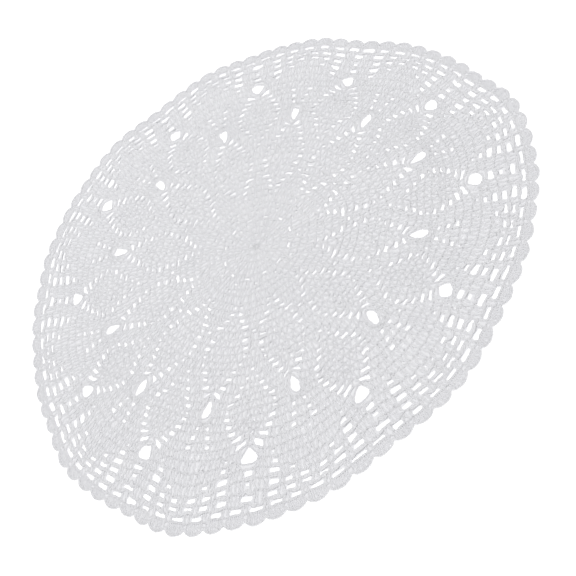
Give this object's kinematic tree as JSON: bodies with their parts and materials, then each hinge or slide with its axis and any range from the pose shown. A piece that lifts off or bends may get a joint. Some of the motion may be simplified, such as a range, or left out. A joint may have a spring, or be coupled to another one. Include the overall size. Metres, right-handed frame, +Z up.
{
  "type": "lace doily",
  "caption": "Round flat lace doily in pineapple crochet, with a rosette at its centre, rings of pineapples, fans with net beside them and a scalloped edge.",
  "frame": {"origin": "middle of the centre rosette, on the underside, where the doily lies on a table", "axes": "+Z up through the cloth's thickness, +X from the rosette along the axis of one pineapple of the inner ring"},
  "size_m": [0.3979, 0.4084, 0.002],
  "materials": {
    "cotton_thread": "white mercerised crochet cotton, soft and slightly uneven"
  },
  "bodies": {
    "root": {"doily": "cotton_thread"}
  },
  "joints": []
}
